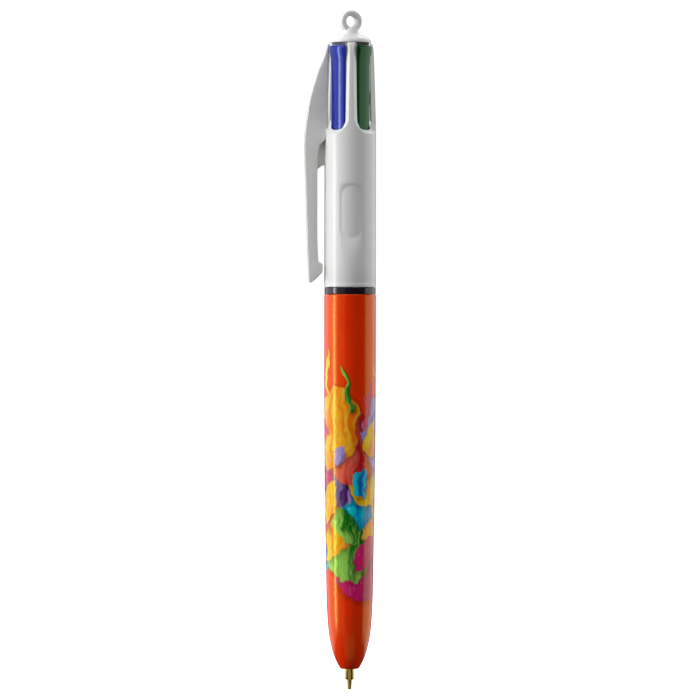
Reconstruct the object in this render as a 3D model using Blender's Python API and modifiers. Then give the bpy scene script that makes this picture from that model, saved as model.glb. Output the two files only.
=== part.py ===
"""Four-colour click pen, modelled as the pieces that it comes apart into.

The pen stands on its writing point: the origin is the lowest point of the black ball, +Z runs up the
barrel's axis to the lanyard eyelet, -X points at the pocket clip and -Y is the front. Black is pressed
and latched, so its point is out, and blue, green and red are up. Dimensions are in millimetres.
"""

import math

import bmesh
import bpy
from mathutils import Matrix, Vector

MM = 0.001

# Whole pen
FACETS = 40
SMALL_FACETS = 16
GAP = 0.06
TRAVEL = 10.0

# Lower barrel: outer (height, radius) from the joint down to the nose face, and its bore upwards
NOSE_FACE = 4.6
LOWER_TOP = 86.7
LOWER_OUTER = [
    (LOWER_TOP - GAP, 5.5), (86.4, 5.65), (75, 5.65), (60, 5.6), (50, 5.5), (42, 5.4), (35, 5.3), (28, 5.2),
    (20, 5.07), (16, 4.88), (13, 4.64), (11, 4.33), (9.8, 4.08), (8.6, 3.77), (7.4, 3.38), (6.4, 2.98),
    (5.6, 2.58), (4.95, 2.2), (NOSE_FACE, 1.95),
]
NOSE_BORE = 1.3
LOWER_BORE = [
    (NOSE_FACE, NOSE_BORE), (6.4, NOSE_BORE), (9, 2.95), (13, 3.75), (20, 4.15), (30, 4.4), (50, 4.55),
    (79, 4.6), (79.5, 4.9), (LOWER_TOP - GAP, 4.9),
]

# Joint ring and the threaded spigot inside it
RING_TOP = 88.2
RING_OUTER = 5.6
RING_BORE = 4.95
SPIGOT_RADIUS = 4.45
SPIGOT_BORE = 3.8
SPIGOT_END = 80.0
THREAD_PITCH = 1.5
THREAD_RADIUS = 0.28
THREAD_SPAN = (81.4, 86.6)

# Upper barrel
BARREL_RADIUS = 5.66
BARREL_BORE = 4.65
CROWN_BORE = 4.42
SHOULDER = 92.0
RIB_FOOT = 124.6
RIB_TOP = 141.75
CROWN_OUTER = [
    (RIB_TOP, 4.5), (141.3, 4.85), (140.6, 5.03), (139.4, 5.12), (135, 5.3), (130, 5.45),
    (123, BARREL_RADIUS),
]

# Slider slots, as (distance from the axis, half width, lowest point, corner radius)
SLOT_TOP = 145.0
SLOT_SECTIONS = [
    (1.6, 2.36, 123.3, 1.4), (3.93, 2.36, 123.3, 1.4), (4.12, 3.5, 122.85, 2.4), (4.5, 3.6, 122.5, 2.4),
    (6.3, 3.6, 121.0, 2.4),
]
# The slots lean inwards going up, by this much per height, and are as listed at this height
SLOT_LEAN = 0.03
SLOT_MIDDLE = 132.5
SLOT_CORNER_STEPS = 4

# Sliders, as (height, distance of the face from the axis, half width of the face) when they are up
SLIDER_SECTIONS = [
    (119.2, 4.2, 2.1), (124.0, 4.2, 2.12), (137.0, 4.2, 2.2), (138.2, 4.3, 2.3), (139.5, 4.55, 2.5),
    (140.7, 4.6, 2.6), (141.15, 4.45, 2.35),
]
FACE_RADIUS = 8.0
FLANK = 1.84
FLANK_OUTER = 3.88
FLANK_INNER = 2.35
REFILL_OFFSET = 2.45
COLLAR_RADIUS = 1.6
COLLAR_FOOT = 118.3
PEG_RADIUS = 0.7
PEG_FOOT = 113.5
SLIDERS = {"blue": 225, "green": 315, "red": 135, "black": 45}
PRESSED = "black"

# Slider core and refill guide
CORE_FOOT = 120.0
CORE_REACH = 4.05
CORE_HALF_WIDTH = 1.2
GUIDE_RADIUS = 4.55
GUIDE_TOP = 93.5
GUIDE_HOLE = 1.28

# Refills, with heights as when their point is out
TUBE_RADIUS = 1.15
TUBE_WALL = 0.33
TUBE_FOOT = 12.15
POINT_RADIUS = 1.1
SHANK_RADIUS = 0.7
SHANK_TOP = 15.2
BALL_RADIUS = 0.4
SOCKET_RADIUS = 0.45
SOCKET_LIP = 0.18
BEND_FOOT = 20.0
BEND_TOP = 84.0
BEND_STEPS = 12

# Return springs
SPRING_RADIUS = 1.47
WIRE_RADIUS = 0.13
SPRING_TURNS = 9
SPRING_POINTS = 8

# Top cap and eyelet
CAP_OUTER = [
    (144.8, 1.3), (144.4, 1.7), (143.75, 1.9), (143.4, 2.9), (142.96, 3.88), (142.55, 4.36), (142.15, 4.5),
    (RIB_TOP + GAP, 4.46),
]
EYELET_HEIGHT = 146.55
EYELET_RADIUS = 2.45
EYELET_HOLE = 1.25
EYELET_DEPTH = 2.1
EYELET_EDGE = 0.4
EYELET_TURN = math.radians(18)

# Pocket clip: side outline of the arm as (x, z), and the root fin on the barrel
CLIP_HINGE = (-8.6, 113.8)
CLIP_KNUCKLE = 1.35
CLIP_WIDTH = 3.6
CLIP_EDGE = 0.3
ARM_OUTER = [
    (-9.85, 110), (-9.65, 104), (-9.4, 96), (-9.2, 91.5), (-9.12, 89.9), (-8.95, 89.45), (-8.7, 89.3),
]
ARM_INNER = [
    (-8.4, 89.4), (-6.46, 91.2), (-6.1, 91.7), (-6.07, 93.2), (-6.45, 93.6), (-7.0, 93.9), (-7.1, 95.5),
    (CLIP_HINGE[0] + CLIP_KNUCKLE, 101),
]
# Fin sections as (height, outer x, inner x, outer half width, inner half width)
FIN_SECTIONS = [
    (141.6, -4.95, -4.8, 0.75, 0.75), (140.8, -5.2, -4.85, 0.85, 0.85), (138, -6.1, -4.9, 1.0, 0.9),
    (135.9, -7.0, -4.9, 1.1, 0.9), (133.7, -7.7, -4.9, 1.25, 0.9), (131.6, -8.35, -4.9, 1.4, 0.9),
    (129.4, -8.9, -4.9, 1.55, 0.9), (127.2, -9.3, -4.9, 1.7, 0.95), (125, -9.6, -4.95, 1.75, 1.1),
    (122.8, -9.9, -5.0, 1.8, 1.4), (120.6, -10.1, -5.0, 1.8, 1.7), (119.6, -10.1, -6.6, 1.8, 1.8),
    (118.3, -10.1, -7.05, 1.8, 1.8), (116.6, -10.1, -7.2, 1.8, 1.8), (114.5, -10.0, -7.25, 1.8, 1.8),
]
WEB_OUTLINE = [(-5.2, 121.2), (-8.0, 121.2), (-8.0, 114.7), (-7.3, 114.3), (-5.2, 115.3)]
WEB_THICKNESS = 1.1

SHARP_ANGLE = math.radians(35)

PARTS = "multicolor_click_pen"
CUTTERS = "cutters"


def clear_scene():
    for obj in list(bpy.data.objects):
        bpy.data.objects.remove(obj, do_unlink=True)


def collection(name):
    made = bpy.data.collections.new(name)
    bpy.context.scene.collection.children.link(made)
    return made


def plastic(name, colour, roughness=0.3, metallic=0.0):
    made = bpy.data.materials.new(name)
    made.use_nodes = True
    shader = made.node_tree.nodes["Principled BSDF"]
    shader.inputs["Base Color"].default_value = (*colour, 1.0)
    shader.inputs["Roughness"].default_value = roughness
    shader.inputs["Metallic"].default_value = metallic
    return made


def add_object(name, data, group):
    obj = bpy.data.objects.new(name, data)
    bpy.data.collections[group].objects.link(obj)
    if group == CUTTERS:
        obj.hide_render = True
        obj.display_type = "WIRE"
    return obj


def turned(name, outline, group, facets=FACETS, closed=True):
    """A profile of (height, radius), outer side top to bottom, turned about Z."""
    mesh = bpy.data.meshes.new(name)
    edges = [(i, i + 1) for i in range(len(outline) - 1)]
    if closed:
        edges.append((len(outline) - 1, 0))
    mesh.from_pydata([(r * MM, 0, z * MM) for z, r in outline], edges, [])
    obj = add_object(name, mesh, group)
    screw = obj.modifiers.new("turn", "SCREW")
    screw.axis = "Z"
    screw.steps = facets
    screw.render_steps = facets
    screw.use_merge_vertices = True
    screw.merge_threshold = 0.000001
    return obj


def lofted(name, rings, group):
    """A closed skin through rings of equally many points, with flat ends."""
    shape = bmesh.new()
    loops = [[shape.verts.new(Vector(p) * MM) for p in ring] for ring in rings]
    count = len(loops[0])
    for low, high in zip(loops, loops[1:]):
        for i in range(count):
            j = (i + 1) % count
            shape.faces.new((low[i], low[j], high[j], high[i]))
    shape.faces.new(list(reversed(loops[0])))
    shape.faces.new(loops[-1])
    bmesh.ops.recalc_face_normals(shape, faces=shape.faces)
    mesh = bpy.data.meshes.new(name)
    shape.to_mesh(mesh)
    shape.free()
    return add_object(name, mesh, group)


def slab(name, outline, width, group):
    """A side outline of (x, z), as thick as width along Y."""
    rings = [[(x, y, z) for x, z in outline] for y in (-width / 2, width / 2)]
    return lofted(name, rings, group)


def swept(name, points, radius, group, resolution, caps=True):
    """A round wire along points, as a mesh."""
    curve = bpy.data.curves.new(name, "CURVE")
    curve.dimensions = "3D"
    curve.bevel_depth = radius * MM
    curve.bevel_resolution = resolution
    curve.use_fill_caps = caps
    spline = curve.splines.new("POLY")
    spline.points.add(len(points) - 1)
    for knot, p in zip(spline.points, points):
        knot.co = (*(Vector(p) * MM), 1.0)
    guide = add_object(name + "_path", curve, CUTTERS)
    mesh = bpy.data.meshes.new_from_object(guide.evaluated_get(bpy.context.evaluated_depsgraph_get()))
    weld_loose_caps(mesh)
    bpy.data.objects.remove(guide, do_unlink=True)
    return add_object(name, mesh, group)


def weld_loose_caps(mesh):
    shape = bmesh.new()
    shape.from_mesh(mesh)
    bmesh.ops.remove_doubles(shape, verts=shape.verts, dist=0.000001)
    shape.to_mesh(mesh)
    shape.free()


def combine(obj, other, operation):
    step = obj.modifiers.new(operation.lower(), "BOOLEAN")
    step.operation = operation
    step.solver = "EXACT"
    step.object = other


def finish(obj, material):
    """Applies the modifiers, gives the object its material and shades it."""
    mesh = bpy.data.meshes.new_from_object(obj.evaluated_get(bpy.context.evaluated_depsgraph_get()))
    obj.modifiers.clear()
    obj.data = mesh
    mesh.materials.clear()
    mesh.materials.append(material)
    mesh.shade_smooth()
    mesh.set_sharp_from_angle(angle=SHARP_ANGLE)
    return obj


def joint_axis(name, point, above=None):
    """An empty on a joint's axis; above is the joint that carries it."""
    empty = add_object(name, None, PARTS)
    empty.location = Vector(point) * MM
    if above:
        empty.parent = above
        empty.location -= above.matrix_world.translation
    bpy.context.view_layer.update()
    return empty


def hang(empty, *objects):
    for obj in objects:
        obj.data.transform(Matrix.Translation(-empty.matrix_world.translation))
        obj.parent = empty


def outward(colour):
    angle = math.radians(SLIDERS[colour])
    return Vector((math.cos(angle), math.sin(angle), 0))


def sideways(colour):
    return Vector((0, 0, 1)).cross(outward(colour))


def lowered(colour):
    """How far this colour's slider is down."""
    return TRAVEL if colour == PRESSED else 0.0


def lower_barrel():
    return turned("lower_barrel", LOWER_OUTER + LOWER_BORE, PARTS)


def joint_ring():
    foot = LOWER_TOP
    outline = [
        (RING_TOP, RING_OUTER - 0.1), (RING_TOP - 0.1, RING_OUTER), (foot + 0.1, RING_OUTER),
        (foot, RING_OUTER - 0.1), (foot, RING_BORE), (RING_TOP, RING_BORE),
    ]
    return turned("joint_ring", outline, PARTS)


def barrel_shell():
    """Crown, tube and spigot, as one turned shell."""
    foot = RING_TOP + GAP
    outline = CROWN_OUTER + [
        (foot + 0.15, BARREL_RADIUS), (foot, BARREL_RADIUS - 0.15), (foot, SPIGOT_RADIUS),
        (SPIGOT_END + 0.3, SPIGOT_RADIUS), (SPIGOT_END, SPIGOT_RADIUS - 0.3), (SPIGOT_END, SPIGOT_BORE),
        (SHOULDER, SPIGOT_BORE), (SHOULDER, BARREL_BORE), (RIB_FOOT, BARREL_BORE),
        (RIB_FOOT + 0.3, CROWN_BORE), (RIB_TOP, CROWN_BORE),
    ]
    return turned("upper_barrel", outline, PARTS)


def thread():
    low, high = THREAD_SPAN
    count = round((high - low) / THREAD_PITCH * SMALL_FACETS)
    points = []
    for i in range(count + 1):
        turn_angle = 2 * math.pi * i / SMALL_FACETS
        z = low + THREAD_PITCH * i / SMALL_FACETS
        points.append((SPIGOT_RADIUS * math.cos(turn_angle), SPIGOT_RADIUS * math.sin(turn_angle), z))
    return swept("thread", points, THREAD_RADIUS, CUTTERS, 0)


def clip_fin():
    rings = []
    for z, outer_x, inner_x, outer_half, inner_half in FIN_SECTIONS:
        edge = CLIP_EDGE if outer_x < -5.5 else 0.05
        rings.append([
            (inner_x, -inner_half, z), (inner_x, inner_half, z),
            (outer_x + edge, outer_half, z), (outer_x, outer_half - edge, z),
            (outer_x, edge - outer_half, z), (outer_x + edge, -outer_half, z),
        ])
    return lofted("clip_fin", rings, CUTTERS)


def slot_cutter(colour):
    """The flared slot of one slider, lofted outwards from the axis."""
    rings = []
    for out, half, low, corner in SLOT_SECTIONS:
        outline = [(-half, SLOT_TOP)]
        for side, start in ((-1, math.pi), (1, 1.5 * math.pi)):
            for i in range(SLOT_CORNER_STEPS + 1):
                angle = start + 0.5 * math.pi * i / SLOT_CORNER_STEPS
                outline.append((
                    side * (half - corner) + corner * math.cos(angle),
                    low + corner * (1 + math.sin(angle)),
                ))
        outline.append((half, SLOT_TOP))
        rings.append([
            outward(colour) * (out + SLOT_LEAN * (SLOT_MIDDLE - z)) + sideways(colour) * t + Vector((0, 0, z))
            for t, z in outline
        ])
    return lofted(colour + "_slot", rings, CUTTERS)


def knuckle_cutter():
    x, z = CLIP_HINGE
    reach = CLIP_KNUCKLE + 0.2
    outline = [
        (x + reach * math.cos(2 * math.pi * i / 24), z + reach * math.sin(2 * math.pi * i / 24))
        for i in range(24)
    ]
    return slab("knuckle_clearance", outline, CLIP_WIDTH + 1, CUTTERS)


def upper_barrel():
    body = barrel_shell()
    combine(body, clip_fin(), "UNION")
    combine(body, slab("clip_web", WEB_OUTLINE, WEB_THICKNESS, CUTTERS), "UNION")
    combine(body, knuckle_cutter(), "DIFFERENCE")
    combine(body, thread(), "UNION")
    for colour in SLIDERS:
        combine(body, slot_cutter(colour), "DIFFERENCE")
    return body


def pocket_clip():
    x, z = CLIP_HINGE
    knuckle = [
        (x + CLIP_KNUCKLE * math.cos(math.pi * i / 8), z + CLIP_KNUCKLE * math.sin(math.pi * i / 8))
        for i in range(9)
    ]
    arm = slab("pocket_clip", knuckle + ARM_OUTER + ARM_INNER, CLIP_WIDTH, PARTS)
    bevel = arm.modifiers.new("edge", "BEVEL")
    bevel.width = CLIP_EDGE * MM
    bevel.segments = 1
    bevel.limit_method = "ANGLE"
    bevel.angle_limit = math.radians(60)
    return arm


def slider_core():
    w, reach = CORE_HALF_WIDTH, CORE_REACH
    corner = [(w, w), (w, reach), (-w, reach)]
    outline = [Matrix.Rotation(math.radians(90 * i), 2) @ Vector(p) for i in range(4) for p in corner]
    rings = [[(x, y, z) for x, y in outline] for z in (CORE_FOOT, RIB_TOP - GAP)]
    return lofted("slider_core", rings, PARTS)


def refill_guide():
    foot = SHOULDER + GAP
    outline = [
        (GUIDE_TOP, 0), (GUIDE_TOP, GUIDE_RADIUS - 0.15), (GUIDE_TOP - 0.15, GUIDE_RADIUS),
        (foot, GUIDE_RADIUS), (foot, 0),
    ]
    disc = turned("refill_guide", outline, PARTS, closed=False)
    for colour in SLIDERS:
        hole = [(GUIDE_TOP + 1, 0), (GUIDE_TOP + 1, GUIDE_HOLE), (foot - 1, GUIDE_HOLE), (foot - 1, 0)]
        cutter = turned(colour + "_guide_hole", hole, CUTTERS, SMALL_FACETS, closed=False)
        cutter.location = outward(colour) * REFILL_OFFSET * MM
        combine(disc, cutter, "DIFFERENCE")
    return disc


def top_cap():
    outline = [(CAP_OUTER[0][0], 0)] + CAP_OUTER + [(CAP_OUTER[-1][0], 0)]
    dome = turned("top_cap", outline, PARTS, closed=False)
    half, edge = EYELET_DEPTH / 2, EYELET_EDGE
    ring = turned("eyelet", [
        (half, EYELET_RADIUS - edge), (half - edge, EYELET_RADIUS), (edge - half, EYELET_RADIUS),
        (-half, EYELET_RADIUS - edge), (-half, EYELET_HOLE + edge / 2), (edge / 2 - half, EYELET_HOLE),
        (half - edge / 2, EYELET_HOLE), (half, EYELET_HOLE + edge / 2),
    ], CUTTERS, 28)
    ring.location = (0, 0, EYELET_HEIGHT * MM)
    ring.rotation_euler = (math.radians(90), 0, EYELET_TURN)
    combine(dome, ring, "UNION")
    return dome


def slider_section(face, half, z, colour):
    """Convex outer face between two flanks that run along the core's ribs."""
    arc = []
    for share in (-1, -0.5, 0, 0.5, 1):
        t = half * share
        arc.append((face - FACE_RADIUS + math.sqrt(FACE_RADIUS ** 2 - t ** 2), t))
    flanks = [(FLANK_OUTER, FLANK_OUTER - FLANK), (FLANK_INNER, FLANK_INNER - FLANK)]
    outline = arc + flanks + [(out, -t) for out, t in reversed(flanks)]
    down = lowered(colour)
    return [outward(colour) * out + sideways(colour) * t + Vector((0, 0, z - down)) for out, t in outline]


def slider(colour):
    down = lowered(colour)
    rings = [slider_section(face, half, z, colour) for z, face, half in SLIDER_SECTIONS]
    stem = lofted(colour + "_slider", rings, PARTS)
    collar = turned(colour + "_collar", [
        (COLLAR_FOOT + 1.4, 0), (COLLAR_FOOT + 1.4, COLLAR_RADIUS), (COLLAR_FOOT, COLLAR_RADIUS),
        (COLLAR_FOOT, PEG_RADIUS), (PEG_FOOT + 0.2, PEG_RADIUS), (PEG_FOOT, PEG_RADIUS - 0.2), (PEG_FOOT, 0),
    ], CUTTERS, SMALL_FACETS, closed=False)
    collar.location = (outward(colour) * REFILL_OFFSET - Vector((0, 0, down))) * MM
    combine(stem, collar, "UNION")
    return stem


def spring(colour):
    foot = GUIDE_TOP + WIRE_RADIUS + GAP
    top = COLLAR_FOOT - lowered(colour) - WIRE_RADIUS - GAP
    count = SPRING_TURNS * SPRING_POINTS
    centre = outward(colour) * REFILL_OFFSET
    points = []
    for i in range(count + 1):
        angle = 2 * math.pi * i / SPRING_POINTS
        share = min(max((i - SPRING_POINTS) / (count - 2 * SPRING_POINTS), 0), 1)
        lift = 2.4 * WIRE_RADIUS * (min(i, SPRING_POINTS) - SPRING_POINTS) / SPRING_POINTS
        drop = 2.4 * WIRE_RADIUS * max(i - count + SPRING_POINTS, 0) / SPRING_POINTS
        z = foot + 2.4 * WIRE_RADIUS + lift + drop + (top - foot - 4.8 * WIRE_RADIUS) * share
        points.append(centre + Vector((SPRING_RADIUS * math.cos(angle), SPRING_RADIUS * math.sin(angle), z)))
    return swept(colour + "_spring", points, WIRE_RADIUS, PARTS, 0)


def refill_path(colour):
    """The tube's centre line. The refill that is out bends in to the axis on its way to the nose."""
    lift = TRAVEL - lowered(colour)
    foot, top = TUBE_FOOT + lift, COLLAR_FOOT - TRAVEL + lift - 0.1
    side = outward(colour) * REFILL_OFFSET
    if colour != PRESSED:
        return [side + Vector((0, 0, z)) for z in (foot, top)]
    points = [Vector((0, 0, foot))]
    for i in range(BEND_STEPS + 1):
        share = i / BEND_STEPS
        ease = share * share * (3 - 2 * share)
        points.append(side * ease + Vector((0, 0, BEND_FOOT + (BEND_TOP - BEND_FOOT) * share)))
    return points + [side + Vector((0, 0, top))]


def refill_tube(colour):
    tube = swept(colour + "_refill_tube", refill_path(colour), TUBE_RADIUS, PARTS, 4, caps=False)
    wall = tube.modifiers.new("wall", "SOLIDIFY")
    wall.thickness = TUBE_WALL * MM
    wall.offset = -1
    return tube


def point_place(colour):
    """Where a refill's writing point is."""
    if colour == PRESSED:
        return Vector((0, 0, 0))
    return outward(colour) * REFILL_OFFSET + Vector((0, 0, TRAVEL))


def refill_point(colour):
    lowest = math.acos((BALL_RADIUS - SOCKET_LIP) / SOCKET_RADIUS)
    socket = []
    for i in range(6):
        angle = lowest + (math.pi - lowest) * i / 5
        socket.append((BALL_RADIUS - SOCKET_RADIUS * math.cos(angle), SOCKET_RADIUS * math.sin(angle)))
    outline = [
        (SHANK_TOP, 0), (SHANK_TOP, SHANK_RADIUS - 0.15), (SHANK_TOP - 0.3, SHANK_RADIUS),
        (TUBE_FOOT - 0.1, SHANK_RADIUS), (TUBE_FOOT - 0.1, POINT_RADIUS), (2.5, POINT_RADIUS), (2.35, 0.95),
        (2.25, 0.68), (0.5, 0.5), (SOCKET_LIP, 0.44),
    ] + socket[:-1] + [(socket[-1][0], 0)]
    tip = turned(colour + "_point", outline, PARTS, SMALL_FACETS, closed=False)
    tip.location = point_place(colour) * MM
    return tip


def writing_ball(colour):
    shape = bmesh.new()
    bmesh.ops.create_uvsphere(shape, u_segments=12, v_segments=8, radius=BALL_RADIUS * MM)
    mesh = bpy.data.meshes.new(colour + "_ball")
    shape.to_mesh(mesh)
    shape.free()
    return add_object(colour + "_ball", mesh, PARTS)


def settle(obj):
    """Moves an object's place into its mesh, so that its origin is the pen's."""
    obj.data.transform(obj.matrix_basis)
    obj.matrix_basis = Matrix.Identity(4)


def build_colour(colour, inks, brass, steel):
    """A slider with its spring, and its refill hung on the slider's peg."""
    down = lowered(colour)
    peg = outward(colour) * REFILL_OFFSET + Vector((0, 0, COLLAR_FOOT - down))
    slide = joint_axis(colour + "_slide_axis", peg)
    swing = joint_axis(colour + "_swing_axis", peg, slide)
    centre = point_place(colour) + Vector((0, 0, BALL_RADIUS))
    roll = joint_axis(colour + "_ball_axis", centre, slide)
    hang(slide, finish(slider(colour), inks[colour]))
    finish(spring(colour), steel)
    tube = finish(refill_tube(colour), inks[colour])
    tip = finish(refill_point(colour), brass)
    settle(tip)
    hang(swing, tube, tip)
    ball = finish(writing_ball(colour), steel)
    ball.parent = roll


def main():
    clear_scene()
    collection(PARTS)
    collection(CUTTERS)
    white = plastic("white_plastic", (0.82, 0.83, 0.83), 0.25)
    orange = plastic("orange_plastic", (0.8, 0.1, 0.01), 0.22)
    dark = plastic("black_plastic", (0.02, 0.02, 0.022), 0.35)
    natural = plastic("guide_plastic", (0.7, 0.72, 0.72), 0.4)
    brass = plastic("brass", (0.6, 0.45, 0.16), 0.25, 1.0)
    steel = plastic("steel", (0.6, 0.6, 0.62), 0.3, 1.0)
    inks = {
        "blue": plastic("blue_plastic", (0.02, 0.03, 0.32), 0.2),
        "green": plastic("green_plastic", (0.01, 0.12, 0.04), 0.2),
        "red": plastic("red_plastic", (0.45, 0.01, 0.01), 0.2),
        "black": plastic("black_ink_plastic", (0.01, 0.01, 0.012), 0.2),
    }
    finish(upper_barrel(), white)
    finish(top_cap(), white)
    finish(slider_core(), white)
    finish(refill_guide(), natural)
    hinge_x, hinge_z = CLIP_HINGE
    hang(joint_axis("clip_hinge_axis", (hinge_x, 0, hinge_z)), finish(pocket_clip(), white))
    screw_axis = joint_axis("barrel_screw_axis", (0, 0, LOWER_TOP))
    hang(screw_axis, finish(joint_ring(), dark), finish(lower_barrel(), orange))
    for colour in SLIDERS:
        build_colour(colour, inks, brass, steel)


main()
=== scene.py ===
"""Looks for the four-colour click pen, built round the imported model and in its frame.

Lengths are in millimetres, and MM turns them into metres where a mesh, a light or the camera is made.
The pen stands on its writing point, -Y is the front and -X points at the pocket clip.
"""

import math

import bmesh
import bpy
import numpy as np
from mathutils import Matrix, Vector


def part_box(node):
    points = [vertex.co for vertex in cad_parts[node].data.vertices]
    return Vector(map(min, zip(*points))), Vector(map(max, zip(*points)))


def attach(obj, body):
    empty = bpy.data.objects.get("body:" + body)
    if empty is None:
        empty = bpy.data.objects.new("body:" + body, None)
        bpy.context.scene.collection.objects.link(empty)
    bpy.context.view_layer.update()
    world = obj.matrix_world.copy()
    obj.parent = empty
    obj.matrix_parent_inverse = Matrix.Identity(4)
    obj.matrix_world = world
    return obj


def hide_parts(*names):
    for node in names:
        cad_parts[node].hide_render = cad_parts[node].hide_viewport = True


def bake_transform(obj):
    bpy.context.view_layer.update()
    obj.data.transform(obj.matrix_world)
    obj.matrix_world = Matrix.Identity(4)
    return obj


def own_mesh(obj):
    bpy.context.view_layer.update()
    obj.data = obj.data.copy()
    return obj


MM = 0.001
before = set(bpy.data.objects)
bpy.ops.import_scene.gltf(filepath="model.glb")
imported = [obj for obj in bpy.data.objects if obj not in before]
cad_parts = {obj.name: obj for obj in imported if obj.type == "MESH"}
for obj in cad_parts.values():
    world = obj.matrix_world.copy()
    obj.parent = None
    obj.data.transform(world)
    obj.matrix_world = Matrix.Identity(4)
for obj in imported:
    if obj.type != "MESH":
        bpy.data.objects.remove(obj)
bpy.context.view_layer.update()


def extent(node):
    """A CAD node's lowest and highest corners, in millimetres."""
    low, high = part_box(node)
    return low / MM, high / MM


COLOURS = ("blue", "green", "red", "black")


def slider_angle(colour):
    low, high = extent(colour + "_slider")
    return math.atan2(low.y + high.y, low.x + high.x)


# Where each slider is round the barrel, and how far it is down at rest
SLIDER_ANGLE = {colour: slider_angle(colour) for colour in COLOURS}
SLIDER_HEAD = {colour: extent(colour + "_slider")[1].z for colour in COLOURS}
LOWERED = {colour: max(SLIDER_HEAD.values()) - SLIDER_HEAD[colour] for colour in COLOURS}

# Heights and radii that the frame gives
NOSE_FACE = extent("lower_barrel")[0].z
LOWER_TOP = extent("lower_barrel")[1].z
LOWER_RADIUS = extent("lower_barrel")[1].x
RING_FOOT = extent("joint_ring")[0].z
RING_TOP = extent("joint_ring")[1].z
RING_RADIUS = extent("joint_ring")[1].x
UPPER_RADIUS = extent("upper_barrel")[1].x
SPIGOT_END = extent("upper_barrel")[0].z
RIB_TOP = extent("upper_barrel")[1].z
CAP_FOOT = extent("top_cap")[0].z
PEN_TOP = extent("top_cap")[1].z
CLIP_TIP = extent("pocket_clip")[0].z
CLIP_HALF = extent("pocket_clip")[1].y
GUIDE_TOP = extent("refill_guide")[1].z
BALL_RADIUS = (extent("black_ball")[1].z - extent("black_ball")[0].z) / 2

# Lower barrel: outside and bore as (height, radius)
LOWER_OUTSIDE = [
    (86.4, LOWER_RADIUS), (75, LOWER_RADIUS), (60, 5.6), (50, 5.5), (42, 5.4), (35, 5.3), (28, 5.2),
    (20, 5.07), (16, 4.88), (13, 4.64), (11, 4.33), (9.8, 4.08), (8.6, 3.77), (7.4, 3.38), (6.4, 2.98),
    (5.6, 2.58), (5, 2.24),
]
NOSE_BORE = 1.3
LOWER_BORE = [
    (NOSE_FACE, NOSE_BORE), (6.4, NOSE_BORE), (9, 2.95), (13, 3.75), (20, 4.15), (30, 4.4), (50, 4.55),
    (79, 4.6), (79.5, 4.9), (LOWER_TOP, 4.9),
]
LATHE_STEPS = 128

# Joint ring and spigot
RING_BORE = 4.95
SPIGOT_RADIUS = 4.45
SPIGOT_BORE = 3.8
THREAD_PITCH = 1.5
THREAD_SPAN = (81.4, 86.6)
THREAD_HEIGHT = 0.26

# Upper barrel
CROWN = [
    (RIB_TOP, 4.5), (141.5, 4.72), (141.3, 4.85), (140.6, 5.03), (139.4, 5.12), (135, 5.3), (130, 5.45),
    (123, UPPER_RADIUS),
]
SHOULDER = 92.0
UPPER_BORE = 4.65
CROWN_BORE = 4.42
RIB_FOOT = 124.6
GROOVE_HEIGHT = 89.2

# Slider slots as (distance from the axis, half width, lowest point, corner radius)
SLOT_TOP = 145.0
SLOT_SECTIONS = [
    (1.6, 2.36, 123.3, 1.4), (3.93, 2.36, 123.3, 1.4), (4.12, 3.5, 122.85, 2.4), (4.5, 3.6, 122.5, 2.4),
    (6.3, 3.6, 121.0, 2.4),
]
# The slots lean inwards going up, by this much per height, and are as listed at this height
SLOT_LEAN = 0.03
SLOT_MIDDLE = 132.5

# Blank badge recessed in the front of the barrel
BADGE_CENTRE = 104.7
BADGE_LENGTH = 12.3
BADGE_WIDTH = 5.3
BADGE_DEPTH = 0.15
BADGE_SLOPE = 1.7

# Pocket clip and its root fin: outer and inner edges as (height, x), half widths as (height, outer, inner)
CLIP_OUTER = [
    (CLIP_TIP, -8.72), (89.45, -8.95), (89.9, -9.12), (91.5, -9.2), (96, -9.4), (104, -9.65), (110, -9.85),
    (114.5, -10), (116.6, -10.08), (120.6, -10.1), (122.8, -9.9), (125, -9.6), (127.2, -9.3), (129.4, -8.9),
    (131.6, -8.35), (133.7, -7.7), (135.9, -7), (138, -6.1), (140.8, -5.2), (141.6, -4.95),
]
CLIP_INNER = [
    (CLIP_TIP, -8.6), (89.4, -8.4), (91.2, -6.46), (91.7, -6.1), (93.2, -6.07), (93.6, -6.45), (93.9, -7),
    (95.5, -7.1), (101, -7.25), (114.5, -7.25), (116.6, -7.2), (118.3, -7.05), (119.6, -6.6), (120.5, -5.5),
    (121.5, -5), (125, -4.95), (127.2, -4.9), (140.8, -4.85), (141.6, -4.8),
]
CLIP_WIDTHS = [
    (CLIP_TIP, CLIP_HALF, CLIP_HALF), (119.6, CLIP_HALF, CLIP_HALF), (122.8, 1.8, 1.5), (125, 1.75, 1.2),
    (127.2, 1.7, 1.0), (129.4, 1.55, 0.95), (131.6, 1.4, 0.9), (135.9, 1.1, 0.9), (138, 1.0, 0.9),
    (140.8, 0.85, 0.85), (141.6, 0.75, 0.75),
]
CLIP_EDGE = 0.22
WEB_OUTLINE = [
    (-5.2, 121.4, 0.1), (-8, 121.4, 0.1), (-8, 114.6, 0.1), (-7.35, 114.0, 0.3), (-6.2, 114.9, 0.8),
    (-5.2, 115.1, 0.1),
]
WEB_THICKNESS = 1.1

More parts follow.
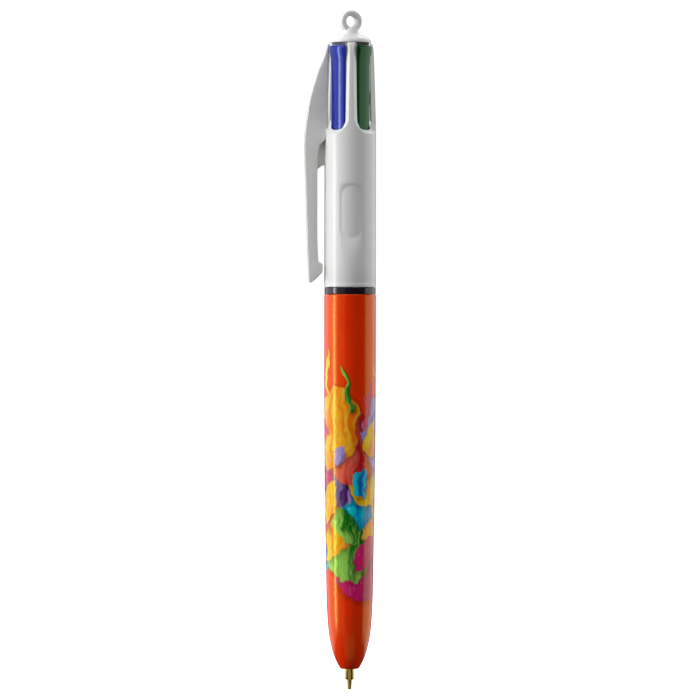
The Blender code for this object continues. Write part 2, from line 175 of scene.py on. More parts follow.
# Sliders as (height, distance of the face from the axis, half width of the face) when up
SLIDER_FOOT = 119.2
SLIDER_TOP = 141.15
SLIDER_ROWS = [
    (SLIDER_FOOT, 4.2, 2.1), (124, 4.2, 2.12), (136.8, 4.2, 2.2), (137.5, 4.22, 2.23), (138.3, 4.32, 2.32),
    (139.4, 4.55, 2.48), (140.4, 4.6, 2.57), (140.8, 4.57, 2.57), (141.02, 4.5, 2.5),
    (SLIDER_TOP, 4.35, 2.35),
]
FACE_RADIUS = 8.0
FACE_EDGE = 0.14
FLANK_POINTS = ((3.6, 1.76), (2.35, 0.51))
COLLAR = [
    (119.7, 0), (119.7, 1.6), (118.3, 1.6), (118.3, 0.7), (113.7, 0.7), (113.5, 0.5), (113.5, 0),
]
REFILL_OFFSET = 2.45

# Refill points and springs
POINT_OUTSIDE = [
    (15.2, 0), (15.2, 0.55), (14.9, 0.7), (12.05, 0.7), (12.05, 1.05), (12.0, 1.1), (2.56, 1.1), (2.48, 1.07),
    (2.4, 0.93), (2.3, 0.9), (2.26, 0.7), (1.4, 0.6), (0.52, 0.5), (0.3, 0.465), (0.18, 0.44),
]
SPRING_RADIUS = 1.47
WIRE_RADIUS = 0.13
SPRING_TURNS = 9
SPRING_REACH = 118.3

# Top cap
CAP_OUTSIDE = [
    (145.2, 1.3), (144.8, 1.5), (144.4, 1.7), (144.0, 1.82), (143.78, 1.98), (143.6, 2.3), (143.4, 2.85),
    (143.2, 3.35), (142.96, 3.82), (142.7, 4.2), (142.4, 4.4), (142.1, 4.5), (CAP_FOOT, 4.47),
]
EYELET_HEIGHT = 146.55
EYELET_RADIUS = PEN_TOP - EYELET_HEIGHT
EYELET_HOLE = 1.25
EYELET_DEPTH = 2.1
EYELET_TURN = math.radians(18)

SHARP = math.radians(32)


def srgb(red, green, blue):
    """A display colour from 0 to 255 as linear light."""
    return tuple(((c / 255 + 0.055) / 1.055) ** 2.4 if c > 10 else c / 3294.6 for c in (red, green, blue))


# ---------------------------------------------------------------- shapes

def monotone(rows):
    """A smooth function through rows of (place, value, ...), with no overshoot between them."""
    table = np.array(sorted(rows), float)
    place, values = table[:, 0], table[:, 1:]
    gaps = np.diff(place)[:, None]
    rise = np.diff(values, axis=0) / gaps
    slope = np.zeros_like(values)
    slope[0], slope[-1] = rise[0], rise[-1]
    before, after = rise[:-1], rise[1:]
    turning = before * after <= 0
    total = np.where(turning, 1, before + after)
    slope[1:-1] = np.where(turning, 0, 2 * before * after / total)

    def value(at):
        i = int(np.clip(np.searchsorted(place, at) - 1, 0, len(gaps) - 1))
        t = min(max((at - place[i]) / gaps[i][0], 0), 1)
        start = (1 + 2 * t) * (1 - t) ** 2 * values[i] + t * (1 - t) ** 2 * gaps[i] * slope[i]
        end = t * t * (3 - 2 * t) * values[i + 1] + t * t * (t - 1) * gaps[i] * slope[i + 1]
        return start + end

    return value


def stations(places, step):
    """The given places in order, with more between them so that no gap is longer than step."""
    places = sorted(set(places))
    found = [places[0]]
    for low, high in zip(places, places[1:]):
        count = math.ceil((high - low) / step - 1e-6)
        found += [low + (high - low) * (i + 1) / count for i in range(count)]
    return found


def filled(rows, step):
    """Rows of (place, value) with smooth ones between, from the first place to the last."""
    value = monotone(rows)
    places = stations([row[0] for row in rows], step)
    if rows[0][0] > rows[-1][0]:
        places.reverse()
    return [(at, *value(at)) for at in places]


def rounded(corners, steps=5):
    """An outline of (x, y, radius) corners, each with a radius turned into an arc."""
    points = []
    for i, (x, y, radius) in enumerate(corners):
        here = Vector((x, y))
        if not radius:
            points.append(here)
            continue
        back = (Vector(corners[i - 1][:2]) - here).normalized()
        ahead = (Vector(corners[(i + 1) % len(corners)][:2]) - here).normalized()
        half = back.angle(ahead) / 2
        centre = here + (back + ahead).normalized() * radius / math.sin(half)
        start = here + back * radius / math.tan(half) - centre
        end = here + ahead * radius / math.tan(half) - centre
        sweep = math.pi - 2 * half
        for k in range(steps + 1):
            t = k / steps
            spoke = start * math.sin((1 - t) * sweep) + end * math.sin(t * sweep)
            points.append(centre + spoke / math.sin(sweep))
    return points


def skin(name, rings, loop=False):
    """A mesh through rings of equally many points, with flat ends or closed into a loop."""
    shape = bmesh.new()
    rows = [[shape.verts.new(Vector(p) * MM) for p in ring] for ring in rings]
    count = len(rows[0])
    pairs = list(zip(rows, rows[1:]))
    if loop:
        pairs.append((rows[-1], rows[0]))
    for low, high in pairs:
        for i in range(count):
            j = (i + 1) % count
            shape.faces.new((low[i], low[j], high[j], high[i]))
    if not loop:
        shape.faces.new(list(reversed(rows[0])))
        shape.faces.new(rows[-1])
    bmesh.ops.remove_doubles(shape, verts=shape.verts, dist=1e-8)
    bmesh.ops.recalc_face_normals(shape, faces=shape.faces)
    return mesh_object(name, shape)


def mesh_object(name, shape):
    mesh = bpy.data.meshes.new(name)
    shape.to_mesh(mesh)
    shape.free()
    obj = bpy.data.objects.new(name, mesh)
    bpy.context.scene.collection.objects.link(obj)
    return obj


def turned(name, outline, steps=LATHE_STEPS, loop=True, centre=(0, 0)):
    """An outline of (height, radius) turned about an upright axis."""
    rings = []
    for z, r in outline:
        angles = [2 * math.pi * i / steps for i in range(steps)]
        rings.append([(centre[0] + r * math.cos(a), centre[1] + r * math.sin(a), z) for a in angles])
    return skin(name, rings, loop)


def applied(obj):
    """Makes what the modifiers do final."""
    bpy.context.view_layer.update()
    mesh = bpy.data.meshes.new_from_object(obj.evaluated_get(bpy.context.evaluated_depsgraph_get()))
    obj.modifiers.clear()
    obj.data = mesh
    return obj


def combined(obj, others, operation):
    for other in others:
        step = obj.modifiers.new(operation.lower(), "BOOLEAN")
        step.operation = operation
        step.solver = "EXACT"
        step.object = other
    applied(obj)
    for other in others:
        bpy.data.objects.remove(other, do_unlink=True)
    return obj


def piece(obj, material, body, slot, *nodes):
    """Finishes a piece: its shading, material, body and the CAD nodes that it stands for. The slot is not
    used.
    """
    obj.data.materials.clear()
    obj.data.materials.append(material)
    obj.data.shade_smooth()
    obj.data.set_sharp_from_angle(angle=SHARP)
    if nodes:
        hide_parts(*nodes)
    if body:
        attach(obj, body)
    return obj


# ---------------------------------------------------------------- lower barrel, ring and upper barrel

def lower_barrel():
    nose_edge = [(4.76, 2.06), (4.64, 1.93), (NOSE_FACE, 1.8), (NOSE_FACE, NOSE_BORE + 0.08)]
    outside = [(LOWER_TOP, 5.52), (LOWER_TOP - 0.04, 5.6), (LOWER_TOP - 0.12, LOWER_RADIUS)]
    outside += filled(LOWER_OUTSIDE, 1.2) + nose_edge
    bore = [(NOSE_FACE + 0.08, NOSE_BORE)] + LOWER_BORE[1:]
    return turned("printed_lower_barrel", outside + bore)


def joint_ring():
    edge = 0.12
    outline = rounded([
        (RING_TOP, RING_BORE, 0), (RING_TOP, RING_RADIUS, edge), (RING_FOOT, RING_RADIUS, edge),
        (RING_FOOT, RING_BORE, 0),
    ], 3)
    return turned("black_joint_ring", [(p.x, p.y) for p in outline])


def placed(colour, out, side, z):
    """A point by its distance from the pen's axis towards a slider, and its distance to the side of that."""
    angle = SLIDER_ANGLE[colour]
    return (
        out * math.cos(angle) - side * math.sin(angle),
        out * math.sin(angle) + side * math.cos(angle),
        z,
    )


def slot_cutter(colour):
    """A slot with round lower corners that flares open towards the outside."""
    section = monotone(SLOT_SECTIONS)
    rings = []
    for out in [SLOT_SECTIONS[0][0]] + stations([3.93, 4.5, 6.3], 0.12):
        half, low, corner = section(out)
        outline = rounded([
            (-half, SLOT_TOP, 0), (-half, low, corner), (half, low, corner), (half, SLOT_TOP, 0),
        ], 12)
        rings.append([placed(colour, out + SLOT_LEAN * (SLOT_MIDDLE - p.y), p.x, p.y) for p in outline])
    return skin("slot_cutter", rings)


def capsule(length, width, steps=16):
    """A stadium outline, upright and centred."""
    radius, reach = width / 2, (length - width) / 2
    ends = []
    for sign in (1, -1):
        for k in range(steps + 1):
            angle = math.pi * k / steps
            ends.append((sign * radius * math.cos(angle), sign * (reach + radius * math.sin(angle))))
    return ends


def badge_cutter():
    """A shallow capsule with sloping walls, which follows the barrel's front."""
    above = 0.1
    inner = [-BADGE_WIDTH / 2 + 0.02, -2.2, -1.8, -1.4, -1.0, -0.6, -BADGE_DEPTH * BADGE_SLOPE]
    outer = [above * BADGE_SLOPE] + inner[-2::-1]
    rows = [(grow, UPPER_RADIUS - BADGE_DEPTH) for grow in inner]
    rows += [(grow, UPPER_RADIUS + above) for grow in outer]
    rings = []
    for grow, radius in rows:
        outline = capsule(BADGE_LENGTH + 2 * grow, BADGE_WIDTH + 2 * grow)
        rings.append([
            (radius * math.sin(x / UPPER_RADIUS), -radius * math.cos(x / UPPER_RADIUS), BADGE_CENTRE + z)
            for x, z in outline
        ])
    return skin("badge_cutter", rings)


def upper_barrel():
    foot = RING_TOP + 0.06
    side = [(z, UPPER_RADIUS) for z in stations([foot + 0.1, 123], 6)[::-1][1:]]
    groove = [
        (GROOVE_HEIGHT + 0.12, UPPER_RADIUS), (GROOVE_HEIGHT, UPPER_RADIUS - 0.03),
        (GROOVE_HEIGHT - 0.12, UPPER_RADIUS),
    ]
    outline = filled(CROWN, 0.8) + side[:-1] + groove + [
        (foot + 0.1, UPPER_RADIUS), (foot + 0.03, UPPER_RADIUS - 0.03), (foot, UPPER_RADIUS - 0.1),
        (foot, SPIGOT_RADIUS), (SPIGOT_END + 0.3, SPIGOT_RADIUS), (SPIGOT_END, SPIGOT_RADIUS - 0.3),
        (SPIGOT_END, SPIGOT_BORE), (SHOULDER, SPIGOT_BORE), (SHOULDER, UPPER_BORE), (RIB_FOOT, UPPER_BORE),
        (RIB_FOOT + 0.3, CROWN_BORE), (RIB_TOP, CROWN_BORE),
    ]
    body = turned("upper_casing", outline)
    return combined(body, [slot_cutter(colour) for colour in COLOURS] + [badge_cutter()], "DIFFERENCE")


def thread():
    """The spigot's helical ridge."""
    low, high = THREAD_SPAN
    steps = 48
    count = round((high - low) / THREAD_PITCH * steps)
    rings = []
    for i in range(count + 1):
        angle = 2 * math.pi * i / steps
        z = low + THREAD_PITCH * i / steps
        height = THREAD_HEIGHT * min(1, i / steps * 3, (count - i) / steps * 3) + 0.01
        section = [(-0.1, -0.45), (height, -0.12), (height, 0.12), (-0.1, 0.45)]
        rings.append([
            ((SPIGOT_RADIUS + r) * math.cos(angle), (SPIGOT_RADIUS + r) * math.sin(angle), z + up)
            for r, up in section
        ])
    return skin("spigot_thread", rings)


# ---------------------------------------------------------------- pocket clip

def clip_blade():
    """Fin and arm in one sweep, a rounded bar that tapers into the crown above and into the barb below."""
    outer, inner, widths = monotone(CLIP_OUTER), monotone(CLIP_INNER), monotone(CLIP_WIDTHS)
    knots = [row[0] for row in CLIP_OUTER + CLIP_INNER]
    rings = []
    for z in stations(knots, 0.7):
        x_out, x_in = outer(z)[0], inner(z)[0]
        half_out, half_in = widths(z)
        thick = x_in - x_out
        edge = min(CLIP_EDGE, 0.42 * thick, 0.6 * half_out)
        inside = min(0.35, 0.3 * thick)
        outline = rounded([
            (x_in, -half_in, inside), (x_in, half_in, inside),
            (x_out, half_out, edge), (x_out, -half_out, edge),
        ], 5)
        rings.append([(p.x, p.y, z) for p in outline])
    return skin("clip_blade", rings)


def clip_web():
    outline = rounded(WEB_OUTLINE)
    rings = []
    for y, inset in ((-0.5, 0.12), (-0.46, 0.03), (-0.38, 0), (0.38, 0), (0.46, 0.03), (0.5, 0.12)):
        middle = sum(outline, Vector((0, 0))) / len(outline)
        rings.append([
            (p.x + (middle.x - p.x) * inset * 0.3, y * WEB_THICKNESS, p.y + (middle.y - p.y) * inset * 0.3)
            for p in outline
        ])
    return skin("clip_web", rings)


# ---------------------------------------------------------------- sliders, points, springs and cap

def slider(colour):
    """A bar with a convex face and a flared head, and the collar and peg that push its refill."""
    section = monotone(SLIDER_ROWS)
    down = LOWERED[colour]
    rings = []
    for z in stations([row[0] for row in SLIDER_ROWS], 0.9):
        face, half = section(z)
        arc = []
        for k in range(1, 12):
            t = half * (1 - k / 6)
            arc.append((face - FACE_RADIUS + math.sqrt(FACE_RADIUS ** 2 - t * t), t, 0))
        corner = face - FACE_RADIUS + math.sqrt(FACE_RADIUS ** 2 - half * half)
        flanks = [(x, t, 0) for x, t in FLANK_POINTS]
        outline = rounded(
            [(corner, half, FACE_EDGE)] + arc + [(corner, -half, FACE_EDGE)]
            + [(x, -t, 0) for x, t, _ in flanks] + flanks[::-1], 4,
        )
        rings.append([placed(colour, p.x, p.y, z - down) for p in outline])
    bar = skin(colour + "_slide_button", rings)
    peg = placed(colour, REFILL_OFFSET, 0, 0)
    collar = turned("collar", [(z - down, r) for z, r in COLLAR], 32, False, peg[:2])
    return combined(bar, [collar], "UNION")


def point_place(colour):
    low, high = extent(colour + "_ball")
    return (low.x + high.x) / 2, (low.y + high.y) / 2, low.z


def refill_point(colour):
    x, y, foot = point_place(colour)
    socket = [
        (BALL_RADIUS - 0.45 * math.cos(angle), 0.45 * math.sin(angle))
        for angle in (math.acos(0.22 / 0.45) + k * 0.4 for k in range(1, 5))
    ]
    outline = POINT_OUTSIDE + socket + [(0.84, 0)]
    return turned(colour + "_brass_point", [(foot + z, r) for z, r in outline], 64, False, (x, y))


def writing_ball(colour):
    x, y, foot = point_place(colour)
    shape = bmesh.new()
    bmesh.ops.create_uvsphere(shape, u_segments=32, v_segments=20, radius=BALL_RADIUS * MM)
    bmesh.ops.translate(shape, verts=shape.verts, vec=Vector((x, y, foot + BALL_RADIUS)) * MM)
    return mesh_object(colour + "_writing_ball", shape)


def spring(colour):
    """A compression spring with a closed turn at each end."""
    steps, sides = 24, 8
    foot = GUIDE_TOP + WIRE_RADIUS + 0.06
    top = SPRING_REACH - LOWERED[colour] - WIRE_RADIUS - 0.06
    closed = 2.4 * WIRE_RADIUS
    count = SPRING_TURNS * steps
    centre = placed(colour, REFILL_OFFSET, 0, 0)
    rings = []
    for i in range(count + 1):
        angle = 2 * math.pi * i / steps
        turn_no = i / steps
        middle = min(max(turn_no - 1, 0) / (SPRING_TURNS - 2), 1)
        z = foot + closed * min(turn_no, 1) + (top - foot - 2 * closed) * middle
        z += closed * max(turn_no - SPRING_TURNS + 1, 0)
        ring = []
        for k in range(sides):
            round_wire = 2 * math.pi * k / sides
            r = SPRING_RADIUS + WIRE_RADIUS * math.cos(round_wire)
            ring.append((
                centre[0] + r * math.cos(angle), centre[1] + r * math.sin(angle),
                z + WIRE_RADIUS * math.sin(round_wire),
            ))
        rings.append(ring)
    return skin(colour + "_return_spring", rings)


def top_cap():
    """The dome with its neck and eyelet, blended by a fine remesh."""
    profile = [(CAP_OUTSIDE[0][0], 0)] + filled(CAP_OUTSIDE, 0.12) + [(CAP_FOOT, 0)]
    dome = turned("domed_cap", profile, 96, False)
    half, edge = EYELET_DEPTH / 2, 0.45
    outline = rounded([
        (half, EYELET_HOLE, 0.3), (half, EYELET_RADIUS, edge), (-half, EYELET_RADIUS, edge),
        (-half, EYELET_HOLE, 0.3),
    ], 6)
    rings = []
    for p in outline:
        ring = []
        for k in range(96):
            angle = 2 * math.pi * k / 96
            across, up = p.y * math.cos(angle), p.y * math.sin(angle)
            ring.append((
                across * math.cos(EYELET_TURN) - p.x * math.sin(EYELET_TURN),
                across * math.sin(EYELET_TURN) + p.x * math.cos(EYELET_TURN),
                EYELET_HEIGHT + up,
            ))
        rings.append(ring)
    eyelet = skin("eyelet", rings, loop=True)
    cap = combined(dome, [eyelet], "UNION")
    remesh = cap.modifiers.new("remesh", "REMESH")
    remesh.mode = "VOXEL"
    remesh.voxel_size = 0.09 * MM
    smooth = cap.modifiers.new("smooth", "CORRECTIVE_SMOOTH")
    smooth.iterations = 6
    smooth.use_only_smooth = True
    return applied(cap)


# ---------------------------------------------------------------- materials

class Graph:
    """Shader nodes written as arithmetic on sockets and numbers."""

    def __init__(self, tree):
        self.tree = tree
        self.coordinates = tree.nodes.new("ShaderNodeTexCoord").outputs["Object"]

    def put(self, socket, value):
        if isinstance(value, bpy.types.NodeSocket):
            self.tree.links.new(value, socket)
        else:
            socket.default_value = value

    def math(self, operation, *values, clamp=False):
        node = self.tree.nodes.new("ShaderNodeMath")
        node.operation = operation
        node.use_clamp = clamp
        for socket, value in zip(node.inputs, values):
            self.put(socket, value)
        return node.outputs[0]

    def add(self, a, b):
        return self.math("ADD", a, b)

    def times(self, a, b):
        return self.math("MULTIPLY", a, b)

    def weighted(self, a, factor, b):
        """a times factor, plus b."""
        return self.math("MULTIPLY_ADD", a, factor, b)

    def vector(self, x, y, z):
        node = self.tree.nodes.new("ShaderNodeCombineXYZ")
        for socket, value in zip(node.inputs, (x, y, z)):
            self.put(socket, value)
        return node.outputs[0]

    def parts(self, vector):
        node = self.tree.nodes.new("ShaderNodeSeparateXYZ")
        self.put(node.inputs[0], vector)
        return node.outputs

    def scaled(self, vector, factors):
        node = self.tree.nodes.new("ShaderNodeVectorMath")
        node.operation = "MULTIPLY"
        self.put(node.inputs[0], vector)
        self.put(node.inputs[1], factors)
        return node.outputs[0]

    def noise(self, vector, scale=1.0, detail=2.0, roughness=0.5):
        node = self.tree.nodes.new("ShaderNodeTexNoise")
        self.put(node.inputs["Vector"], vector)
        node.inputs["Scale"].default_value = scale
        node.inputs["Detail"].default_value = detail
        node.inputs["Roughness"].default_value = roughness
        return node.outputs

    def between(self, value, low, high, to_low=0.0, to_high=1.0, smooth=False):
        node = self.tree.nodes.new("ShaderNodeMapRange")
        node.interpolation_type = "SMOOTHSTEP" if smooth else "LINEAR"
        for socket, given in zip(node.inputs, (value, low, high, to_low, to_high)):
            self.put(socket, given)
        return node.outputs[0]

    def mix(self, factor, a, b, blend="MIX"):
        node = self.tree.nodes.new("ShaderNodeMix")
        node.data_type = "RGBA"
        node.blend_type = blend
        colour_inputs = [s for s in node.inputs if s.type == "RGBA"]
        self.put(node.inputs[0], factor)
        for socket, value in zip(colour_inputs, (a, b)):
            self.put(socket, (*value, 1.0) if isinstance(value, tuple) else value)
        return [s for s in node.outputs if s.type == "RGBA"][0]

    def bump(self, height, distance, strength=1.0):
        node = self.tree.nodes.new("ShaderNodeBump")
        node.inputs["Strength"].default_value = strength
        node.inputs["Distance"].default_value = distance
        self.put(node.inputs["Height"], height)
        return node.outputs[0]


def new_material(name):
    """A material, its Principled shader and a graph on its nodes."""
    made = bpy.data.materials.new(name)
    made.use_nodes = True
    return made, made.node_tree.nodes["Principled BSDF"], Graph(made.node_tree)


def plastic(name, colour, roughness, streak=0.03, waviness=0.004, tint=(1, 1, 1)):
    """Moulded plastic: a slightly uneven tone and gloss, and the faint waves of a moulded skin."""
    made, shader, g = new_material(name)
    fine = g.noise(g.coordinates, 900, 3)[0]
    broad = g.noise(g.scaled(g.coordinates, (1, 1, 0.35)), 260, 2)[0]
    tone = g.between(broad, 0.3, 0.7, 1 - streak, 1 + streak)
    g.put(shader.inputs["Base Color"], g.mix(1.0, colour, g.vector(tone, tone, tone), "MULTIPLY"))
    g.put(shader.inputs["Roughness"], g.between(fine, 0.3, 0.7, roughness * 0.95, roughness * 1.05))
    g.put(shader.inputs["Normal"], g.bump(broad, waviness * MM))
    shader.inputs["IOR"].default_value = 1.5
    shader.inputs["Specular Tint"].default_value = (*tint, 1.0)
    return made


def metal(name, colour, roughness, rings=0.0):
    """Bare metal, with fine turning marks round Z where rings is given."""
    made, shader, g = new_material(name)
    stretched = g.scaled(g.coordinates, (1, 1, 40) if rings else (1, 1, 1))
    grain = g.noise(stretched, 700, 3)[0]
    tone = g.between(grain, 0.3, 0.7, 0.9, 1.05)
    g.put(shader.inputs["Base Color"], g.mix(1.0, colour, g.vector(tone, tone, tone), "MULTIPLY"))
    g.put(shader.inputs["Roughness"], g.between(grain, 0.3, 0.7, roughness * 0.8, roughness * 1.2))
    g.put(shader.inputs["Normal"], g.bump(grain, rings * MM))
    shader.inputs["Metallic"].default_value = 1.0
    return made


def ink_tube(name, colour):
    """Translucent tube wall over ink, darker along the column of ink and pale above it."""
    made, shader, g = new_material(name)
    height = g.parts(g.coordinates)[2]
    filled_part = g.between(height, 0.082, 0.0835)
    cloud = g.noise(g.coordinates, 400, 2)[0]
    ink = g.mix(g.between(cloud, 0.3, 0.7, 0, 0.25), colour, tuple(min(1, c * 1.8 + 0.02) for c in colour))
    g.put(shader.inputs["Base Color"], g.mix(filled_part, ink, (0.62, 0.63, 0.6)))
    shader.inputs["Roughness"].default_value = 0.3
    return made


# ---------------------------------------------------------------- the printed pattern

ORANGE = srgb(243, 54, 5)
DEEP_ORANGE = srgb(238, 46, 3)
SHADOW = srgb(90, 20, 16)

# Dark and light colour of each paint, in the order in which the pools take them
PAINTS = [
    (srgb(240, 140, 5), srgb(250, 205, 10)),
    (srgb(200, 5, 110), srgb(230, 30, 120)),
    (srgb(10, 90, 190), srgb(5, 215, 235)),
    (srgb(195, 20, 35), srgb(240, 100, 80)),
    (srgb(5, 110, 20), srgb(150, 215, 90)),
    (srgb(75, 15, 105), srgb(170, 150, 215)),
    (srgb(240, 120, 10), srgb(250, 190, 40)),
]
PRINT_RADIUS = 5.6
PRINT_FOOT = 27.0
PRINT_TOP = 60.0
DRIP_REACH = 12.0
# Each pool lies this share of a turn round from the one before, so that no column of them lines up
GOLDEN_TURN = (math.sqrt(5) - 1) / 2
POOL_TAPER = 0.2
# How far the slow and the quick waviness move the paint, across and up
SLOW_SWAY = (4.0, 5.0)
QUICK_SWAY = (0.6, 0.8)
FOLD_LIGHT = 0.1


def pool_layer(count, foot, top, half_width, half_height, lean):
    """Pools at even steps up the barrel and golden steps round it, whose size and lean rise and fall."""
    pools = []
    for number in range(count):
        across = ((number * GOLDEN_TURN) % 1 - 0.5) * 2 * math.pi * PRINT_RADIUS
        up = foot + (top - foot) * (number + 0.5) / count
        size = 1 + 0.3 * math.sin(2 * number)
        tilt = lean * math.cos(3 * number)
        dark, light = PAINTS[number % len(PAINTS)]
        pools.append((across, up, half_width * size, half_height * size, tilt, POOL_TAPER, dark, light))
    return pools


def all_pools():
    """A layer of broad pools, a layer of small ones over it, and thin drips above both."""
    broad = pool_layer(22, PRINT_FOOT, PRINT_TOP, 5.5, 7.5, 20)
    small = pool_layer(17, PRINT_FOOT, PRINT_TOP, 2.0, 3.6, 40)
    drips = pool_layer(9, PRINT_TOP, PRINT_TOP + DRIP_REACH, 0.5, 4.0, 10)
    return broad + small + drips


def wrapped_distance(g, across, centre):
    """How far round the barrel a point is from centre, the short way."""
    half_turn = math.pi * PRINT_RADIUS
    return g.math("WRAP", g.add(across, -centre), half_turn, -half_turn)


def turned_about(g, across, up, pool):
    """Coordinates along a pool's own width and height."""
    centre, height, _, _, tilt = pool[:5]
    c, s = math.cos(math.radians(tilt)), math.sin(math.radians(tilt))
    x = wrapped_distance(g, across, centre)
    y = g.add(up, -height)
    return g.weighted(x, c, g.times(y, s)), g.weighted(x, -s, g.times(y, c))


def pool_distance(g, x, y, pool):
    """1 at a pool's edge, less inside. The width changes from foot to top."""
    _, _, half_width, half_height, _, taper = pool[:6]
    y_share = g.times(y, 1 / half_height)
    width = g.math("MAXIMUM", g.weighted(y_share, -taper * half_width, half_width), 0.06 * half_width)
    x_share = g.math("DIVIDE", x, width)
    return g.math("SQRT", g.add(g.times(x_share, x_share), g.times(y_share, y_share)))


def printed_pattern(g):
    """Pools and drips of paint round the middle of the barrel, placed by rule, over the plain colour."""
    x, y, z = g.parts(g.scaled(g.coordinates, (1 / MM, 1 / MM, 1 / MM)))
    across = g.times(g.math("ARCTAN2", x, g.times(y, -1)), PRINT_RADIUS)
    point = g.vector(x, y, z)
    slow = g.parts(g.noise(point, 0.22, 2)[1])
    quick = g.parts(g.noise(point, 0.6, 1.5, 0.4)[1])
    middle = [-(SLOW_SWAY[axis] + QUICK_SWAY[axis]) / 2 for axis in (0, 1)]
    shifted_across = g.weighted(quick[0], QUICK_SWAY[0], g.add(across, middle[0]))
    warped_across = g.weighted(slow[0], SLOW_SWAY[0], shifted_across)
    shifted_up = g.weighted(quick[1], QUICK_SWAY[1], g.add(z, middle[1]))
    warped_up = g.weighted(slow[1], SLOW_SWAY[1], shifted_up)
    folds = g.noise(g.vector(warped_across, g.times(warped_up, 0.16), slow[2]), 0.75, 2.5, 0.5)[0]
    strands = g.noise(g.vector(warped_across, g.times(warped_up, 0.3), quick[2]), 1.5, 1.5, 0.5)[0]
    shine = g.between(strands, 0.62, 0.74, 0, FOLD_LIGHT, smooth=True)
    shade = g.between(strands, 0.40, 0.28, 1, 0.85)

    colour = g.mix(g.between(folds, 0.35, 0.7), ORANGE, DEEP_ORANGE)
    for pool in all_pools():
        px, py = turned_about(g, warped_across, warped_up, pool)
        inside = g.between(pool_distance(g, px, py, pool), 1.02, 0.96, smooth=True)
        lower_edge = pool_distance(g, g.add(px, -0.22), g.add(py, 0.25), pool)
        cast = g.between(lower_edge, 1.16, 0.94, 0, 0.45, smooth=True)
        colour = g.mix(cast, colour, SHADOW, "MULTIPLY")
        lit = g.between(g.weighted(px, -0.13 / pool[2], folds), 0.36, 0.64, smooth=True)
        colour = g.mix(inside, colour, g.mix(lit, pool[6], pool[7]))
    painted = g.times(g.between(warped_up, 20.5, 22, smooth=True), g.between(warped_up, 68, 62, smooth=True))
    colour = g.mix(painted, colour, g.mix(1.0, colour, g.vector(shade, shade, shade), "MULTIPLY"))
    return g.mix(g.times(painted, shine), colour, (1.0, 0.97, 0.9))


def printed_plastic():
    made, shader, g = new_material("printed_plastic")
    g.put(shader.inputs["Base Color"], printed_pattern(g))
    waves = g.noise(g.scaled(g.coordinates, (1, 1, 0.3)), 220, 2)[0]
    g.put(shader.inputs["Normal"], g.bump(waves, 0.003 * MM))
    shader.inputs["Roughness"].default_value = 0.2
    shader.inputs["IOR"].default_value = 1.5
    shader.inputs["Specular IOR Level"].default_value = 0.58
    shader.inputs["Specular Tint"].default_value = (1.0, 1.0, 0.2, 1.0)
    return made


# ---------------------------------------------------------------- stage

VIEW_WIDTH = 153.5
CAMERA_DISTANCE = 1200.0
CAMERA_HEIGHT = 74.5
CAMERA_ROLL = math.radians(-0.08)
# How far the camera and the lights stand round from the pen's front, towards the clip
CAMERA_TURN = math.radians(2.8)
# The floor lies this far down, so that the lower barrel can come off downwards
FLOOR_DROP = 12.0
HIGH_TILT = 50.0
LOW_TILT = -40.0
# Radiance of the lit strip, of the panels at the sides and of those overhead
KEY_LIGHT = 9.0
SIDE_LIGHT = 1.5
TOP_LIGHT = 2.0


def stage_camera():
    data = bpy.data.cameras.new("camera")
    data.sensor_width = 36.0
    data.lens = data.sensor_width * CAMERA_DISTANCE / VIEW_WIDTH
    data.clip_start = 0.05
    data.clip_end = 20.0
    camera = bpy.data.objects.new("camera", data)
    bpy.context.scene.collection.objects.link(camera)
    across, away = math.sin(CAMERA_TURN) * CAMERA_DISTANCE, math.cos(CAMERA_TURN) * CAMERA_DISTANCE
    camera.location = Vector((-across, -away, CAMERA_HEIGHT)) * MM
    camera.rotation_euler = (math.radians(90), CAMERA_ROLL, -CAMERA_TURN)
    bpy.context.scene.camera = camera


def softbox(name, azimuth, distance, width, foot, top, radiance, tilt=0.0):
    """A panel that faces the pen, tilted down. Azimuth 0 is the camera's side and 90 the clip's side."""
    data = bpy.data.lights.new(name, "AREA")
    data.shape = "RECTANGLE"
    data.size = width * MM
    data.size_y = (top - foot) * MM
    data.energy = radiance * math.pi * data.size * data.size_y
    light = bpy.data.objects.new(name, data)
    bpy.context.scene.collection.objects.link(light)
    angle = math.radians(azimuth) + CAMERA_TURN
    light.location = Vector((-math.sin(angle) * distance, -math.cos(angle) * distance, (foot + top) / 2)) * MM
    light.rotation_euler = (math.radians(90 - tilt), 0, -angle)
    light.visible_camera = False
    return light


def stage_lights():
    world = bpy.data.worlds.new("studio")
    bpy.context.scene.world = world
    world.use_nodes = True
    world.node_tree.nodes["Background"].inputs["Color"].default_value = (1, 1, 1, 1)
    world.node_tree.nodes["Background"].inputs["Strength"].default_value = 0.02
    softbox("strip", 76, 600, 80, -100, 450, KEY_LIGHT)
    softbox("strip_glow", 70, 600, 160, -100, 450, KEY_LIGHT / 4)
    softbox("left_panel", 110, 800, 1200, -250, 500, SIDE_LIGHT)
    softbox("right_panel", -110, 800, 1200, -250, 500, SIDE_LIGHT)
    softbox("front_left", 45, 800, 600, -250, 500, SIDE_LIGHT / 4)
    softbox("high_left", 60, 700, 1200, 450, 1300, TOP_LIGHT, HIGH_TILT)
    softbox("high_right", -40, 700, 600, 450, 1300, TOP_LIGHT, HIGH_TILT)
    softbox("high_back", 180, 700, 1800, 450, 1300, TOP_LIGHT, HIGH_TILT)
    softbox("low_front", 0, 200, 300, -200, -60, SIDE_LIGHT / 4, LOW_TILT)


def camera_only(obj):
    for ray in ("diffuse", "glossy", "transmission", "volume_scatter", "shadow"):
        setattr(obj, "visible_" + ray, False)


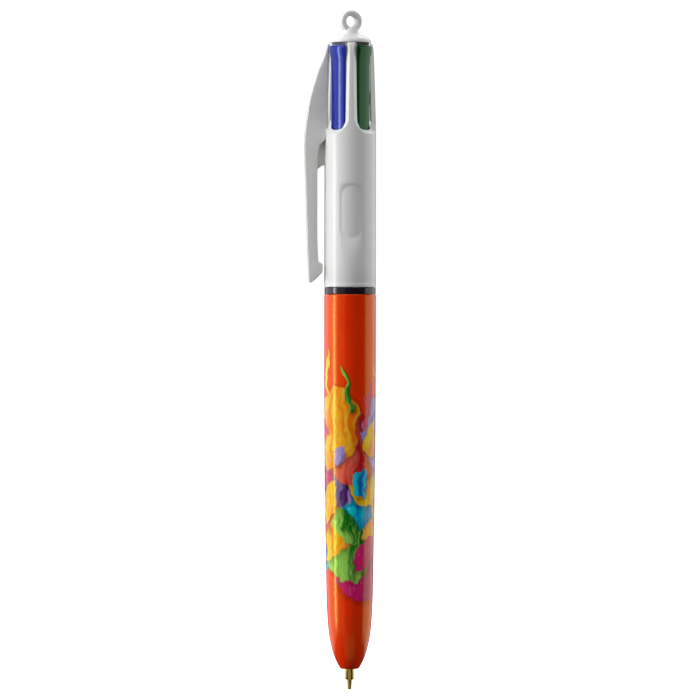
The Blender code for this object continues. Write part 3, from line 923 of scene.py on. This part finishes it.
def stage_sweep():
    """A white floor and a white dome behind everything, which don't light the pen."""
    shape = bmesh.new()
    bmesh.ops.create_circle(shape, cap_ends=True, segments=64, radius=3)
    floor = mesh_object("floor", shape)
    floor.location.z = -FLOOR_DROP * MM
    made, shader, g = new_material("paper")
    grain = g.noise(g.coordinates, 300, 2)[0]
    g.put(shader.inputs["Base Color"], g.mix(grain, (0.8, 0.8, 0.8), (0.84, 0.84, 0.84)))
    shader.inputs["Roughness"].default_value = 0.9
    shader.inputs["Emission Color"].default_value = (1, 1, 1, 1)
    shader.inputs["Emission Strength"].default_value = 1.0
    floor.data.materials.append(made)
    shape = bmesh.new()
    bmesh.ops.create_uvsphere(shape, u_segments=48, v_segments=24, radius=3)
    dome = mesh_object("backdrop", shape)
    dome.data.shade_smooth()
    glow = bpy.data.materials.new("backdrop_white")
    glow.use_nodes = True
    nodes = glow.node_tree.nodes
    emission = nodes.new("ShaderNodeEmission")
    emission.inputs["Strength"].default_value = 1.05
    glow.node_tree.links.new(emission.outputs[0], nodes["Material Output"].inputs["Surface"])
    dome.data.materials.append(glow)
    for obj in (floor, dome):
        camera_only(obj)


# ---------------------------------------------------------------- the pen

def dress_nodes(materials, *names):
    """Gives CAD nodes that stay in view inside the pen their finish."""
    for name, material in zip(names, materials):
        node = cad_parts[name]
        node.data.materials.clear()
        node.data.materials.append(material)


def build_pen():
    white = plastic("white_plastic", srgb(232, 233, 231), 0.26, 0.006, 0.0004)
    printed = printed_plastic()
    ring = plastic("black_ring_plastic", srgb(30, 22, 30), 0.13, 0.03, 0.002)
    natural = plastic("natural_plastic", srgb(214, 214, 206), 0.4)
    brass = metal("turned_brass", srgb(226, 190, 104), 0.2, 0.001)
    steel = metal("spring_steel", srgb(190, 190, 194), 0.28)
    carbide = metal("carbide", srgb(168, 166, 160), 0.12)
    inks = {
        "blue": srgb(26, 36, 146), "green": srgb(4, 64, 22),
        "red": srgb(188, 18, 22), "black": srgb(18, 18, 20),
    }
    sheens = {
        "blue": (0.4, 0.5, 1.0), "green": (0.3, 0.8, 0.4), "red": (1.0, 0.5, 0.45), "black": (0.9, 0.9, 1.0),
    }

    piece(upper_barrel(), white, "upper_body", "white_plastic", "upper_barrel")
    piece(thread(), white, "upper_body", "white_plastic")
    piece(top_cap(), white, "upper_body", "white_plastic", "top_cap")
    piece(clip_web(), white, "upper_body", "white_plastic")
    blade = piece(clip_blade(), white, None, "white_plastic", "pocket_clip")
    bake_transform(blade)
    piece(joint_ring(), ring, "joint_ring", "black_ring", "joint_ring")
    piece(lower_barrel(), printed, "lower_body", "printed_barrel", "lower_barrel")
    dress_nodes([white, natural], "slider_core", "refill_guide")
    for colour in COLOURS:
        shiny = plastic(colour + "_plastic", inks[colour], 0.1, 0.04, 0.001, sheens[colour])
        piece(slider(colour), shiny, colour + "_slider", colour + "_plastic", colour + "_slider")
        piece(refill_point(colour), brass, colour + "_refill", "brass", colour + "_point")
        piece(writing_ball(colour), carbide, colour + "_ball", "ball_metal", colour + "_ball")
        dress_nodes([ink_tube(colour + "_ink_tube", inks[colour])], colour + "_refill_tube")
        coil = piece(spring(colour), steel, "upper_body", "steel", colour + "_spring")
        if LOWERED[colour] < 1:
            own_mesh(coil)


def corners(box):
    return [list(corner) for corner in box]


def main():
    scene = bpy.context.scene
    scene.view_settings.view_transform = "Standard"
    scene.view_settings.look = "None"
    stage_camera()
    stage_lights()
    stage_sweep()
    build_pen()


main()
